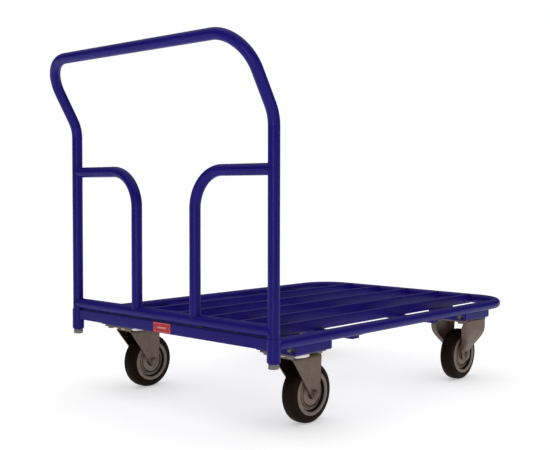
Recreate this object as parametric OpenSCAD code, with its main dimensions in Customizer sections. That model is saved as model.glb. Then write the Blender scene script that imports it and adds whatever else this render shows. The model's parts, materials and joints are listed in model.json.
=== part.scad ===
// Platform trolley: a welded tube platform with slats, a bent tube handle that
// plugs into two rear sockets, two swivel casters at the handle end and two
// fixed casters at the front.
// Frame: +X is forward (away from the handle), +Y is left, +Z is up.
// The origin is on the floor, under the middle of the whole trolley.

/* [Platform] */
// Distance from the handle uprights to the front tube, centre to centre
frame_l = 1122; // [900:1:1300]
// Distance between the two side tubes, centre to centre
frame_w = 770; // [640:1:860]
// Height of the deck surface above the floor
deck_z = 246; // [240:1:252]
// Outside diameter of every round tube
tube_d = 29; // [25:1:32]
// Wall of the round tubes
tube_wall = 2; // [1.5:0.5:3]
// Centre-line radius of the platform's front corners
corner_r = 108; // [80:1:115]
// Width of a slat, the rear beam and their like
bar_w = 15; // [12:1:20]
// Wall of the square-cornered tubes
bar_wall = 1.5; // [1.5:0.5:3]
// Number of slats across the deck
slat_count = 5; // [5:1:5]
// Width of a cross bar, along the trolley
cross_w = 30; // [20:1:40]
// Height of a cross bar
cross_h = 12; // [8:1:12]
// Distance from the uprights to the rear cross bar
cross_rear = 329; // [280:1:400]
// Distance from the uprights to the front cross bar
cross_front = 711; // [600:1:760]

/* [Handle] */
// Height of the top bar's centre line
handle_z = 947; // [900:1:1050]
// Height at which the uprights start to lean back
kink_z = 765; // [740:1:800]
// Angle by which the top of the handle leans back
lean = 30; // [15:1:35]
// Centre-line radius of every bend in the handle
bend_r = 97; // [60:1:100]
// Height of the lower rail's centre line
rail_z = 263.5; // [262:0.5:290]
// Height of the side branches' level stretch
branch_z = 640; // [560:1:680]
// Distance of the branches' upright stretch from the middle
branch_y = 115.5; // [100:0.5:200]

/* [Sockets] */
// Outside diameter of a handle socket
socket_d = 33; // [33:0.5:40]
// Height of the socket's lower end above the floor
socket_z = 187; // [185:1:195]
// Clearance between an upright and its socket, on the radius
socket_gap = 0.1; // [0.05:0.05:0.3]

/* [Casters] */
// Diameter of a wheel
wheel_d = 157; // [150:1:160]
// Width of the tyre
tyre_w = 40; // [36:1:41]
// Radius of the steel rim that the tyre sits on
rim_r = 57.5; // [50:0.5:60]
// Distance from the uprights to the rear casters' kingpins
rear_caster = 148; // [140:1:180]
// Distance from the uprights to the front wheels' axles
front_caster = 932; // [880:1:960]
// Distance from the middle to each caster's centre line
caster_y = 315; // [300:1:318]
// How far a swivel wheel's axle trails its kingpin
trail = 51; // [45:1:60]
// Height of the top face of the caster plates
plate_z = 194; // [192:1:196]
// Thickness of the caster plates
plate_t = 5; // [4:0.5:6]
// Length of a caster plate
plate_l = 135; // [130:1:138]
// Width of a swivel caster's plate
plate_w = 110; // [105:1:112]
// Outside width of the fixed brackets under their plates
bracket_wide = 124; // [118:1:125]
// Bolt hole spacing along the trolley
hole_x = 105; // [100:1:105]
// Bolt hole spacing across the trolley
hole_y = 80; // [75:1:80]
// Thickness of the fork and bracket sheet
leg_t = 4; // [3:0.5:4]

/* [Hidden] */

$fn = 64;
PAINT = [0.15, 0.12, 0.42];
STEEL = [0.45, 0.41, 0.38];
ZINC = [0.78, 0.77, 0.76];
RUBBER = [0.08, 0.07, 0.07];
LABEL = [0.75, 0.06, 0.10];

// Over-length of a cutting shape
cut = 1;
tube_r = tube_d / 2;
side_y = frame_w / 2;
tube_z = deck_z - tube_r;
bar_h = tube_d;
bar_z = deck_z - bar_h;
slat_pitch = (frame_w - tube_d) / (slat_count + 1);
// The leaned top reaches back this far behind the uprights
lean_reach = (handle_z - kink_z) * tan(lean);
// X of the uprights when the origin is under the middle of the trolley
rear_x = (lean_reach - frame_l) / 2;
front_x = rear_x + frame_l;

socket_r = socket_d / 2;
socket_floor = 3;
socket_chamfer = 4;
plug_h = 25;
handle_bolt_r = 8;
handle_head_h = 9;
handle_bolt_af = 23;
handle_washer_h = 3;

mount_t = 3;
mount_l = 138;
mount_outer_y = side_y - 1;
mount_inner_y = 2 * slat_pitch + bar_w / 2;

label_w = 68;
label_h = 26;
label_t = 1;
label_y = 4;
rivet_r = 1.5;
rivet_inset = 4;
rivet_head_h = 1;

bolt_r = 5;
bolt_hole_r = 5.5;
bolt_af = 17;
bolt_head_h = 6.4;
nut_h = 8;
bolt_tail = 4;

wheel_r = wheel_d / 2;
axle_z = wheel_r;
rear_axle = rear_caster + trail;
// Half the outside width of a fork or bracket at the axle
leg_y = 28;
// Heights at which the legs start to spread and at which a bracket's are fully spread
leg_spread_z = axle_z + 13.5;
bracket_top_z = 165;
housing_r = 17;
housing_bore = 13.5;
housing_l = 43;
sleeve_r = 10;
axle_r = 5;
run_gap = 0.05;
cage_ring = 3;
roller_count = 12;
axle_af = 17;
axle_head_h = 5;
axle_nut_h = 8;
axle_tail = 1.5;

race_r = 38;
race_h = 6;
race_gap = 2;
crown_z = plate_z - plate_t - race_h - race_gap;
crown_t = 5;
// The cup on the fork's crown that shields the ball race
cup_r = 42;
cup_t = 2.5;
cup_drop = 3;
cup_gap = 1;
// Half the outside width of a fork at its crown
crown_y = 36;
kingpin_r = 8;
kingpin_head_r = 15;
kingpin_head_h = 5;
kingpin_gap = 0.5;
ball_r = 4;
ball_ring_r = 28;
ball_count = 16;
ball_gap = 0.4;
ball_z = (plate_z - plate_t - race_h + crown_z) / 2;

// A round bar that runs forward from where it stands and carries on with its children
module run(r, l) {
    cylinder(r = r, h = l);
    translate([0, 0, l]) children();
}

// A bend of a round bar towards +X that carries on with its children
module bend(r, radius, angle) {
    translate([radius, 0, 0]) mirror([1, 0, 0]) rotate([90, 0, 0])
        rotate_extrude(angle = angle) translate([radius, 0]) circle(r);
    translate([radius, 0, 0]) rotate([0, angle, 0]) translate([-radius, 0, 0]) children();
}

// Turns the next bend about the bar's own axis
module roll(angle) {
    rotate([0, 0, angle]) children();
}

// Points along an arc, from angle a to angle b
function arc(x, y, r, a, b, steps = 8) =
    [for (i = [0 : steps]) let (t = a + (b - a) * i / steps) [x + r * cos(t), y + r * sin(t)]];

// A hexagon prism, measured across its flats
module hex(across, h) {
    cylinder(r = across / 2 / cos(30), h = h, $fn = 6);
}

// A box tube of the given outside size, open at its X ends
module box_tube_x(l, w, h, wall) {
    difference() {
        translate([0, -w / 2, 0]) cube([l, w, h]);
        translate([-cut, wall - w / 2, wall]) cube([l + 2 * cut, w - 2 * wall, h - 2 * wall]);
    }
}

// The two uprights as solid bars, for shaping the ends of tubes that meet them
module upright_space(r) {
    for (s = [-1, 1])
        translate([rear_x, s * side_y, 0]) cylinder(r = r, h = kink_z - bend_r);
}

// The platform's round tube: left side, front, right side
module perimeter_path(r) {
    side_run = frame_l - corner_r;
    translate([rear_x, side_y, tube_z]) rotate([0, 90, 0]) roll(-90)
        run(r, side_run) bend(r, corner_r, 90) run(r, frame_w - 2 * corner_r)
            bend(r, corner_r, 90) run(r, side_run);
}

module perimeter_tube() {
    color(PAINT) difference() {
        perimeter_path(tube_r);
        perimeter_path(tube_r - tube_wall);
        upright_space(socket_r);
    }
}

module rear_beam() {
    color(PAINT) difference() {
        translate([rear_x, -side_y, bar_z]) rotate([0, 0, 90])
            box_tube_x(frame_w, bar_w, bar_h, bar_wall);
        upright_space(socket_r);
        label_rivet_shanks();
    }
}

// One slat on edge, from the rear beam to the front tube; index counts from the right
module slat(index) {
    y = (index - (slat_count + 1) / 2) * slat_pitch;
    color(PAINT) difference() {
        translate([rear_x + bar_w / 2, y, bar_z])
            box_tube_x(frame_l - bar_w / 2, bar_w, bar_h, bar_wall);
        translate([front_x, y - bar_w, tube_z]) rotate([-90, 0, 0]) cylinder(r = tube_r, h = 2 * bar_w);
    }
}

module cross_bar(distance) {
    lap = 2;
    length = 2 * (side_y - tube_r + lap);
    color(PAINT) translate([rear_x + distance, -length / 2, bar_z - cross_h]) rotate([0, 0, 90])
        box_tube_x(length, cross_w, cross_h, bar_wall);
}

// The four bolt places of a caster plate
module at_bolts() {
    for (x = [-hole_x / 2, hole_x / 2], y = [-hole_y / 2, hole_y / 2])
        translate([x, y, 0]) children();
}

// Puts a left-hand part on the given side: 1 is left, -1 is right
module on_side(side, x) {
    mirror([0, side < 0 ? 1 : 0, 0]) translate([x, caster_y, 0]) children();
}

// A bent sheet mount between the side tube and the outer slat, open fore and aft
module caster_mount(side, distance) {
    outer = mount_outer_y - caster_y;
    inner = mount_inner_y - caster_y;
    height = bar_z - plate_z;
    color(PAINT) difference() {
        on_side(side, rear_x + distance) difference() {
            translate([-mount_l / 2, 0, plate_z]) union() {
                translate([0, inner - mount_t, 0]) cube([mount_l, outer - inner + mount_t, mount_t]);
                translate([0, inner - mount_t, 0]) cube([mount_l, mount_t, height]);
                translate([0, outer - mount_t, 0]) cube([mount_l, mount_t, height + tube_r]);
            }
            at_bolts() translate([0, 0, plate_z - cut]) cylinder(r = bolt_hole_r, h = mount_t + 2 * cut);
        }
        translate([rear_x, side * side_y, tube_z]) rotate([0, 90, 0]) cylinder(r = tube_r, h = frame_l);
    }
}

// The handle's main tube, from the left socket over the top to the right one
module handle_path(r) {
    lean_tangent = bend_r * tan(lean / 2);
    straight = kink_z - lean_tangent - socket_z - socket_floor;
    leaned = (handle_z - kink_z) / cos(lean) - lean_tangent - bend_r;
    translate([rear_x, side_y, socket_z + socket_floor]) roll(180)
        run(r, straight) bend(r, bend_r, lean) run(r, leaned) roll(90)
            bend(r, bend_r, 90) run(r, frame_w - 2 * bend_r) bend(r, bend_r, 90)
                run(r, leaned) roll(-90) bend(r, bend_r, lean) run(r, straight);
}

module handle_tube() {
    color(PAINT) difference() {
        handle_path(tube_r);
        handle_path(tube_r - tube_wall);
    }
}

module handle_rail() {
    color(PAINT) difference() {
        translate([rear_x, -side_y, rail_z]) rotate([-90, 0, 0]) cylinder(r = tube_r, h = frame_w);
        translate([rear_x, -side_y, rail_z]) rotate([-90, 0, 0])
            cylinder(r = tube_r - tube_wall, h = frame_w);
        upright_space(tube_r);
    }
}

module branch_path(r) {
    level = side_y - branch_y - bend_r;
    translate([rear_x, side_y, branch_z]) rotate([90, 0, 0]) roll(-90)
        run(r, level) bend(r, bend_r, 90) run(r, branch_z - bend_r - rail_z);
}

// A side branch of the handle, from an upright across and down to the rail
module branch(side) {
    color(PAINT) mirror([0, side < 0 ? 1 : 0, 0]) difference() {
        branch_path(tube_r);
        branch_path(tube_r - tube_wall);
        upright_space(tube_r);
        translate([rear_x, 0, rail_z]) rotate([-90, 0, 0]) cylinder(r = tube_r, h = side_y);
    }
}

// A sleeve with a floor, chamfered at its lower end, that an upright stands in
module socket(side) {
    color(PAINT) translate([rear_x, side * side_y, socket_z]) rotate_extrude() polygon([
        [handle_bolt_r, 0],
        [socket_r - socket_chamfer, 0],
        [socket_r, socket_chamfer],
        [socket_r, deck_z - socket_z],
        [tube_r + socket_gap, deck_z - socket_z],
        [tube_r + socket_gap, socket_floor],
        [handle_bolt_r, socket_floor]]);
}

// Threaded plugs pressed into the lower ends of the uprights
module handle_plugs() {
    color(STEEL) for (s = [-1, 1])
        translate([rear_x, s * side_y, socket_z + socket_floor]) difference() {
            cylinder(r = tube_r - tube_wall, h = plug_h);
            translate([0, 0, -cut]) cylinder(r = handle_bolt_r, h = plug_h + 2 * cut);
        }
}

// Hexagon bolts with washers that pull the handle into its sockets
module handle_bolts() {
    color(ZINC) for (s = [-1, 1])
        translate([rear_x, s * side_y, socket_z - handle_washer_h]) {
            cylinder(r = socket_r - socket_chamfer, h = handle_washer_h);
            cylinder(r = handle_bolt_r, h = handle_washer_h + socket_floor + plug_h);
            translate([0, 0, -handle_head_h]) hex(handle_bolt_af, handle_head_h);
        }
}

// Places one rivet at each end of the label, pointing forward
module at_label_rivets() {
    for (s = [-1, 1])
        translate([rear_x - bar_w / 2, label_y + s * (label_w / 2 - rivet_inset), tube_z]) rotate([0, 90, 0]) children();
}

module label_rivet_shanks() {
    at_label_rivets() translate([0, 0, -label_t]) cylinder(r = rivet_r, h = label_t + bar_wall);
}

module label_plate() {
    color(LABEL) difference() {
        translate([rear_x - bar_w / 2 - label_t, label_y - label_w / 2, tube_z - label_h / 2])
            cube([label_t, label_w, label_h]);
        label_rivet_shanks();
    }
}

module label_rivets() {
    color(ZINC) {
        label_rivet_shanks();
        at_label_rivets() translate([0, 0, -label_t - rivet_head_h])
            cylinder(r = 2 * rivet_r, h = rivet_head_h);
    }
}

// Places something at all four casters
module at_casters() {
    for (x = [rear_caster, front_caster], side = [1, -1]) on_side(side, rear_x + x) children();
}

module caster_bolts() {
    shank = plate_t + mount_t + nut_h + bolt_tail;
    color(ZINC) at_casters() at_bolts() translate([0, 0, plate_z - plate_t]) {
        cylinder(r = bolt_r, h = shank);
        translate([0, 0, -bolt_head_h]) hex(bolt_af, bolt_head_h);
    }
}

module caster_nuts() {
    color(ZINC) at_casters() at_bolts() translate([0, 0, plate_z + mount_t]) difference() {
        hex(bolt_af, nut_h);
        translate([0, 0, -cut]) cylinder(r = bolt_r, h = nut_h + 2 * cut);
    }
}

// A caster plate of the given width with rounded corners and four bolt holes
module caster_plate(width) {
    r = 8;
    difference() {
        translate([0, 0, plate_z - plate_t]) linear_extrude(plate_t) union() {
            square([plate_l - 2 * r, width], center = true);
            square([plate_l, width - 2 * r], center = true);
            for (x = [-1, 1], y = [-1, 1])
                translate([x * (plate_l / 2 - r), y * (width / 2 - r)]) circle(r);
        }
        at_bolts() translate([0, 0, plate_z - plate_t - cut])
            cylinder(r = bolt_hole_r, h = plate_t + 2 * cut);
    }
}

// The circular groove that the swivel balls run in
module ball_groove() {
    translate([0, 0, ball_z]) rotate_extrude() translate([ball_ring_r, 0]) circle(ball_r + ball_gap);
}

// The swivel plate and its upper ball race
module top_plate(side) {
    color(STEEL) on_side(side, rear_x + rear_caster) difference() {
        union() {
            caster_plate(plate_w);
            translate([0, 0, plate_z - plate_t - race_h]) cylinder(r = race_r, h = race_h);
        }
        ball_groove();
        kingpin_shape();
    }
}

// The kingpin: a countersunk upper head, a shaft and a lower head
module kingpin_shape() {
    sink = 4;
    edge = 1;
    bottom = crown_z - crown_t - kingpin_gap - kingpin_head_h;
    translate([0, 0, bottom]) rotate_extrude() polygon([
        [0, 0],
        [kingpin_head_r - edge, 0],
        [kingpin_head_r, edge],
        [kingpin_head_r, kingpin_head_h],
        [kingpin_r, kingpin_head_h],
        [kingpin_r, plate_z - bottom - sink],
        [kingpin_r + sink, plate_z - bottom],
        [0, plate_z - bottom]]);
}

module kingpin(side) {
    color(ZINC) on_side(side, rear_x + rear_caster) kingpin_shape();
}

module balls(side) {
    color(ZINC) on_side(side, rear_x + rear_caster) for (i = [0 : ball_count - 1])
        rotate([0, 0, i * 360 / ball_count]) translate([ball_ring_r, 0, ball_z]) sphere(ball_r);
}

// Stands an outline drawn in X and Z upright and gives it a width across the trolley
module across(width) {
    translate([0, width / 2, 0]) rotate([90, 0, 0]) linear_extrude(width) children();
}

// Carries a cross-section drawn in Y and Z along the trolley
module along(length) {
    translate([-length / 2, 0, 0]) rotate([90, 0, 90]) linear_extrude(length) children();
}

// The fork's side outline: a slanted edge at the back, an upright one in front and a round
// end that reaches a little ahead of the axle
module fork_outline() {
    end_r = 17;
    end_x = trail + 5.5;
    back = -42;
    front = 69;
    chord = [end_x - back, axle_z - crown_z];
    slope = atan2(chord[1], chord[0]) - asin(end_r / norm(chord));
    polygon([
        [back, crown_z],
        [front, crown_z],
        [end_x + end_r, axle_z],
        [end_x, axle_z],
        [end_x + end_r * sin(slope), axle_z - end_r * cos(slope)]]);
    translate([end_x, axle_z]) circle(end_r);
}

// An upside-down U with legs that lean in towards the axle, drawn at the given inset
module fork_profile(inset = 0) {
    round_r = 9 - inset;
    low = leg_y - inset;
    high = crown_y - inset;
    top = crown_z - (inset == 0 ? 0 : crown_t);
    lean_in = (crown_y - leg_y) / (crown_z - leg_spread_z);
    bend_y = high - round_r;
    polygon([
        [-low, -cut], [low, -cut], [low, leg_spread_z], [high - lean_in * round_r, top - round_r],
        [bend_y, top], [-bend_y, top], [lean_in * round_r - high, top - round_r], [-low, leg_spread_z]]);
    for (s = [-1, 1]) translate([s * bend_y, top - round_r]) circle(round_r);
}

// A round cup that starts a little under the crown's top and ends just under the plate
module swivel_cup() {
    height = plate_z - plate_t - cup_gap - crown_z;
    translate([0, 0, crown_z]) difference() {
        translate([0, 0, -cup_drop]) cylinder(r = cup_r, h = height + cup_drop);
        cylinder(r = cup_r - cup_t, h = height + cut);
    }
}

module fork(side) {
    color(STEEL) on_side(side, rear_x + rear_caster) difference() {
        union() {
            intersection() {
                across(2 * crown_y + cut) fork_outline();
                along(4 * trail) difference() {
                    fork_profile();
                    fork_profile(leg_t);
                }
            }
            translate([0, 0, crown_z - crown_t]) cylinder(r = race_r, h = crown_t);
            swivel_cup();
        }
        ball_groove();
        cylinder(r = kingpin_r + run_gap, h = plate_z);
        translate([trail, -leg_y - cut, axle_z]) rotate([-90, 0, 0])
            cylinder(r = axle_r + run_gap, h = 2 * (leg_y + cut));
    }
}

// The right half of the bracket's side outline: upright under the plate, a 45 degree
// shoulder and a round end at the axle
function bracket_side(inset) =
    let (end_r = 18 - inset, wide = 51.5 - inset, shoulder_r = 50, neck_r = 25,
        shoulder_z = 170, neck_z = axle_z + 24 + 0.4 * inset)
    concat(
        [[wide, plate_z]],
        arc(wide - shoulder_r, shoulder_z, shoulder_r, 0, -45),
        arc(end_r + neck_r, neck_z, neck_r, 135, 180, 4),
        arc(0, axle_z, end_r, 0, -90));

module bracket_outline(inset = 0) {
    half = bracket_side(inset);
    polygon(concat(half, [for (i = [len(half) - 2 : -1 : 0]) [-half[i][0], half[i][1]]]));
}

// Half the outside width of the bracket at height z: it spreads along a quarter sine
function bracket_y(z) =
    let (t = max(0, min(1, (z - leg_spread_z) / (bracket_top_z - leg_spread_z))))
    leg_y + (bracket_wide / 2 - leg_y) * sin(90 * t);

// Both legs seen from the front, as a band of the given depth inside their outer face
module bracket_section(depth) {
    steps = 10;
    rise = bracket_top_z - leg_spread_z;
    heights = concat([0], [for (i = [0 : steps]) leg_spread_z + rise * i / steps], [plate_z]);
    outer = [for (z = heights) [bracket_y(z), z]];
    inner = [for (z = heights) [max(leg_y - leg_t, bracket_y(z) - depth), z]];
    for (s = [-1, 1]) scale([s, 1])
        polygon(concat(outer, [for (i = [len(inner) - 1 : -1 : 0]) inner[i]]));
}

// The fixed caster's plate and legs, with flanges turned in along the legs' edges
module fixed_bracket(side) {
    flange = 17;
    flange_t = 3;
    wrench_r = bolt_af / 2 / cos(30) + 1.5;
    color(STEEL) on_side(side, rear_x + front_caster) difference() {
        union() {
            caster_plate(bracket_wide);
            intersection() {
                across(bracket_wide + cut) bracket_outline();
                along(plate_l) bracket_section(leg_t);
            }
            difference() {
                intersection() {
                    across(bracket_wide + cut) difference() {
                        bracket_outline();
                        bracket_outline(inset = flange_t);
                    }
                    along(plate_l) bracket_section(flange);
                }
                at_bolts() translate([0, 0, plate_z - plate_t - 2 * bolt_head_h])
                    cylinder(r = wrench_r, h = 2 * bolt_head_h);
            }
        }
        translate([0, -leg_y - cut, axle_z]) rotate([-90, 0, 0])
            cylinder(r = axle_r + run_gap, h = 2 * (leg_y + cut));
        at_bolts() translate([0, 0, plate_z - plate_t - cut])
            cylinder(r = bolt_hole_r, h = plate_t + 2 * cut);
    }
}

// Places something at a wheel's centre with its own Z along the axle, outwards
module at_axle(side, x) {
    on_side(side, rear_x + x) translate([0, 0, axle_z]) rotate([-90, 0, 0]) children();
}

module axle_bolt(side, x) {
    color(ZINC) at_axle(side, x) {
        translate([0, 0, -leg_y]) cylinder(r = axle_r, h = 2 * leg_y + axle_nut_h + axle_tail);
        translate([0, 0, -leg_y - axle_head_h]) hex(axle_af, axle_head_h);
    }
}

module axle_nut(side, x) {
    color(ZINC) at_axle(side, x) translate([0, 0, leg_y]) difference() {
        hex(axle_af, axle_nut_h);
        translate([0, 0, -cut]) cylinder(r = axle_r, h = axle_nut_h + 2 * cut);
    }
}

// The still inner tube that the legs clamp and the rollers turn on
module axle_sleeve(side, x) {
    l = 2 * (leg_y - leg_t);
    color(ZINC) at_axle(side, x) translate([0, 0, -l / 2]) difference() {
        cylinder(r = sleeve_r, h = l);
        translate([0, 0, -cut]) cylinder(r = axle_r + run_gap, h = l + 2 * cut);
    }
}

// The tyre's section: square at the rim and well rounded at the tread
module tyre(side, x) {
    steps = 24;
    power = 3.5;
    function tread(t) = rim_r + (wheel_r - rim_r) * pow(max(0, 1 - pow(abs(t), power)), 1 / power);
    color(RUBBER) at_axle(side, x) rotate_extrude() polygon([
        for (i = [0 : steps]) let (t = -cos(180 * i / steps)) [tread(t), t * tyre_w / 2]]);
}

// Two pressed steel discs, back to back, that hold the tyre between them
module rim(side, x) {
    sheet = 2.5;
    seat = tyre_w / 2;
    seam = 0.2;
    face = [[rim_r, seat + sheet], [rim_r - 9, seat + sheet], [rim_r - 12, 14], [38, 14],
        [34, 18], [24, 18], [20, 15], [housing_r, 15]];
    under = [for (i = [len(face) - 1 : -1 : 0]) [face[i][0], face[i][1] - sheet]];
    color(STEEL) at_axle(side, x) for (s = [0, 1]) mirror([0, 0, s]) rotate_extrude() union() {
        polygon(concat(face, under));
        translate([rim_r - sheet, seam]) square([sheet, seat]);
    }
}

module housing(side, x) {
    color(STEEL) at_axle(side, x) translate([0, 0, -housing_l / 2]) difference() {
        cylinder(r = housing_r, h = housing_l);
        translate([0, 0, -cut]) cylinder(r = housing_bore, h = housing_l + 2 * cut);
    }
}

// A roller cage: two end rings with rollers between them
module rollers(side, x) {
    roller_r = 1.65;
    pitch_r = (sleeve_r + housing_bore) / 2;
    color(ZINC) at_axle(side, x) translate([0, 0, -housing_l / 2]) {
        for (z = [0, housing_l - cage_ring]) translate([0, 0, z]) difference() {
            cylinder(r = housing_bore, h = cage_ring);
            translate([0, 0, -cut]) cylinder(r = sleeve_r + run_gap, h = cage_ring + 2 * cut);
        }
        for (i = [0 : roller_count - 1]) rotate([0, 0, i * 360 / roller_count])
            translate([pitch_r, 0, cage_ring]) cylinder(r = roller_r, h = housing_l - 2 * cage_ring);
    }
}

perimeter_tube();
rear_beam();
for (i = [1 : slat_count])
    slat(i);
cross_bar(cross_rear);  // rear_cross_bar
cross_bar(cross_front);  // front_cross_bar
caster_mount(1, rear_caster);  // rear_left_mount
caster_mount(-1, rear_caster);  // rear_right_mount
caster_mount(1, front_caster);  // front_left_mount
caster_mount(-1, front_caster);  // front_right_mount
handle_tube();
handle_rail();
branch(1);  // left_branch
branch(-1);  // right_branch
socket(1);  // left_socket
socket(-1);  // right_socket
handle_plugs();
handle_bolts();
label_plate();
label_rivets();
caster_bolts();
caster_nuts();
top_plate(1);  // rear_left_top_plate
top_plate(-1);  // rear_right_top_plate
kingpin(1);  // rear_left_kingpin
kingpin(-1);  // rear_right_kingpin
balls(1);  // rear_left_balls
balls(-1);  // rear_right_balls
fork(1);  // rear_left_fork
fork(-1);  // rear_right_fork
axle_bolt(1, rear_axle);  // rear_left_axle_bolt
axle_bolt(-1, rear_axle);  // rear_right_axle_bolt
axle_nut(1, rear_axle);  // rear_left_axle_nut
axle_nut(-1, rear_axle);  // rear_right_axle_nut
axle_sleeve(1, rear_axle);  // rear_left_axle_sleeve
axle_sleeve(-1, rear_axle);  // rear_right_axle_sleeve
fixed_bracket(1);  // front_left_bracket
fixed_bracket(-1);  // front_right_bracket
for (s = [-1, 1]) axle_bolt(s, front_caster);  // front_axle_bolts
for (s = [-1, 1]) axle_nut(s, front_caster);  // front_axle_nuts
for (s = [-1, 1]) axle_sleeve(s, front_caster);  // front_axle_sleeves
tyre(1, rear_axle);  // rear_left_tyre
tyre(-1, rear_axle);  // rear_right_tyre
tyre(1, front_caster);  // front_left_tyre
tyre(-1, front_caster);  // front_right_tyre
rim(1, rear_axle);  // rear_left_rim
rim(-1, rear_axle);  // rear_right_rim
rim(1, front_caster);  // front_left_rim
rim(-1, front_caster);  // front_right_rim
housing(1, rear_axle);  // rear_left_housing
housing(-1, rear_axle);  // rear_right_housing
housing(1, front_caster);  // front_left_housing
housing(-1, front_caster);  // front_right_housing
rollers(1, rear_axle);  // rear_left_rollers
rollers(-1, rear_axle);  // rear_right_rollers
rollers(1, front_caster);  // front_left_rollers
rollers(-1, front_caster);  // front_right_rollers
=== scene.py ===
import json
import math
import bmesh
import bpy
from mathutils import Matrix, Vector


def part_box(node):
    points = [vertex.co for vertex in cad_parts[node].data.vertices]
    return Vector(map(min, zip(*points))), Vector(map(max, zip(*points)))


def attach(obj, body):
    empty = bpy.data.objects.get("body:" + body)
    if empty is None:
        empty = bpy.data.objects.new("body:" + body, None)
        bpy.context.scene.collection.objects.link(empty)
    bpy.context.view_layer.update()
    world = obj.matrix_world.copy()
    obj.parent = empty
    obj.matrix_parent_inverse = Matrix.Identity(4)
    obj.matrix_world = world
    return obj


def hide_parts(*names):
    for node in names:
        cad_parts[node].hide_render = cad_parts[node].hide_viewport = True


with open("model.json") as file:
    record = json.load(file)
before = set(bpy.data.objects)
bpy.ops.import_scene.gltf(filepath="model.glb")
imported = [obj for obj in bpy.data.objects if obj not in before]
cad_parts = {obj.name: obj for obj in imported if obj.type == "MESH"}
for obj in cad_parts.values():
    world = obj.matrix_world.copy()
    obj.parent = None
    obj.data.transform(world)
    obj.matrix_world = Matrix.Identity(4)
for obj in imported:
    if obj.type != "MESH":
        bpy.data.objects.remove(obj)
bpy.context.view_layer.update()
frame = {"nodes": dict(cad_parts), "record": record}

MM = 0.001
TINY = 1e-10
UPRIGHT = 0.05
SIDES = {"left": 1, "right": -1}
ENDS = ("rear", "front")
SLATS = [f"slat_{index}" for index in range(1, 6)]
CROSS_BARS = ("rear_cross_bar", "front_cross_bar")

# Axes, and the turns that lay a shape built along Z along another axis
X, Y, Z = Vector((1, 0, 0)), Vector((0, 1, 0)), Vector((0, 0, 1))
QUARTER = math.pi / 2
ALONG_X = Matrix.Rotation(QUARTER, 4, "Y")
ALONG_Y = Matrix.Rotation(-QUARTER, 4, "X")
FACING_BACK = Matrix.Rotation(-QUARTER, 4, "Y")

# Camera: place in metres, angles in radians, lens in millimetres on a 36 mm sensor
CAMERA_PLACE = (-2.0337, -1.7870, 0.5925)
CAMERA_YAW = 0.8287
CAMERA_PITCH = 0.0395
CAMERA_ROLL = -0.002
CAMERA_LENS = 58.74
SENSOR = 36.0
CLIP_END = 50.0

# Studio: light of the walls and of the ceiling, with the heights on a unit sphere between which one
# turns into the other, and the floor's own glow and its half size in metres
WALL_LIGHT, CEILING_LIGHT = 0.10, 1.15
WALL_END, CEILING_START = 0.3, 1.0
FLOOR_GLOW = 0.42
FLOOR_SIZE = 30
WHITE = (1, 1, 1, 1)

# Lamps: place and disk size in metres, power in watts
KEY_PLACE, KEY_SIZE, KEY_POWER = (0.6, -5.0, 1.3), 2.5, 8
FILL_PLACE, FILL_SIZE, FILL_POWER = (-4.2, -2.6, 0.5), 1.2, 32
LAMP_TARGET = Vector((0, 0, 0.4))

# Colours in linear RGB, each from its darkest to its lightest patch
PAINT_COLOURS = ((0.0075, 0.0030, 0.140), (0.0110, 0.0050, 0.165))
CASTER_COLOURS = ((0.112, 0.078, 0.059), (0.168, 0.122, 0.094))
RIM_COLOURS = ((0.150, 0.112, 0.090), (0.215, 0.165, 0.133))
# Painted shade: near-black steel for the fork's inner faces and the skins over the rim's rings
PAINTED_SHADE_COLOURS = ((0.005, 0.003, 0.002), (0.014, 0.009, 0.006))
ZINC_COLOURS = ((0.155, 0.140, 0.128), (0.270, 0.250, 0.235))
BRIGHT_COLOURS = ((0.62, 0.57, 0.60), (0.82, 0.78, 0.80))
RUBBER_COLOURS = ((0.0042, 0.0022, 0.0015), (0.0090, 0.0050, 0.0034))
RUBBER_TINT = (1, 0.66, 0.5, 1)
LABEL_COLOURS = ((0.40, 0.003, 0.006), (0.50, 0.005, 0.010))
PALE_COLOURS = ((0.50, 0.24, 0.20), (0.62, 0.34, 0.28))
FLOOR_COLOURS = ((0.93, 0.93, 0.93), (0.96, 0.96, 0.96))

# Frame sizes, worked out from the CAD nodes
SOCKET_LOW, SOCKET_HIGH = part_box("right_socket")
REAR_X = (SOCKET_LOW.x + SOCKET_HIGH.x) / 2
SIDE_Y = -(SOCKET_LOW.y + SOCKET_HIGH.y) / 2
SOCKET_R = (SOCKET_HIGH.x - SOCKET_LOW.x) / 2
TUBE_LOW, TUBE_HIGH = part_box("perimeter_tube")
TUBE_R = (TUBE_HIGH.z - TUBE_LOW.z) / 2
TUBE_Z = TUBE_HIGH.z - TUBE_R
FRONT_X = TUBE_HIGH.x - TUBE_R
RAIL_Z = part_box("handle_rail")[1].z - TUBE_R
BRANCH_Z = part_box("left_branch")[1].z - TUBE_R
BRANCH_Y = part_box("left_branch")[0].y + TUBE_R
BAR_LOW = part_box("slat_1")[0].z
BAR_CORNER = 2 * MM
EMBED = 2 * MM

# Caster mounts: their upper outer edge and its weld bead lie just above the tube's lowest line
MOUNT_T = 3 * MM
MOUNT_BEND = 5 * MM
MOUNT_EDGE_Z = TUBE_Z - 0.97 * TUBE_R
MOUNT_BEAD_Z = TUBE_Z - 0.985 * TUBE_R

# Weld beads: the radius of each kind, then as shares of it their ripple and the size of open ends;
# a mount's edge is divided in equal parts, and a bead one part long starts at each given part
SADDLE_BEAD = 2.0 * MM
SADDLE_RIPPLES = 16
BAR_BEAD = 1.5 * MM
BAR_BEAD_INSET = 3 * MM
MOUNT_BEAD = 1.6 * MM
BEAD_RIPPLE = 0.12
BEAD_END, BEAD_GROWTH = 0.35, 5.2
BEAD_SIDES = 8
MOUNT_BEAD_PARTS, MOUNT_BEAD_STARTS = 5, (0.4, 3.6)

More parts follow.
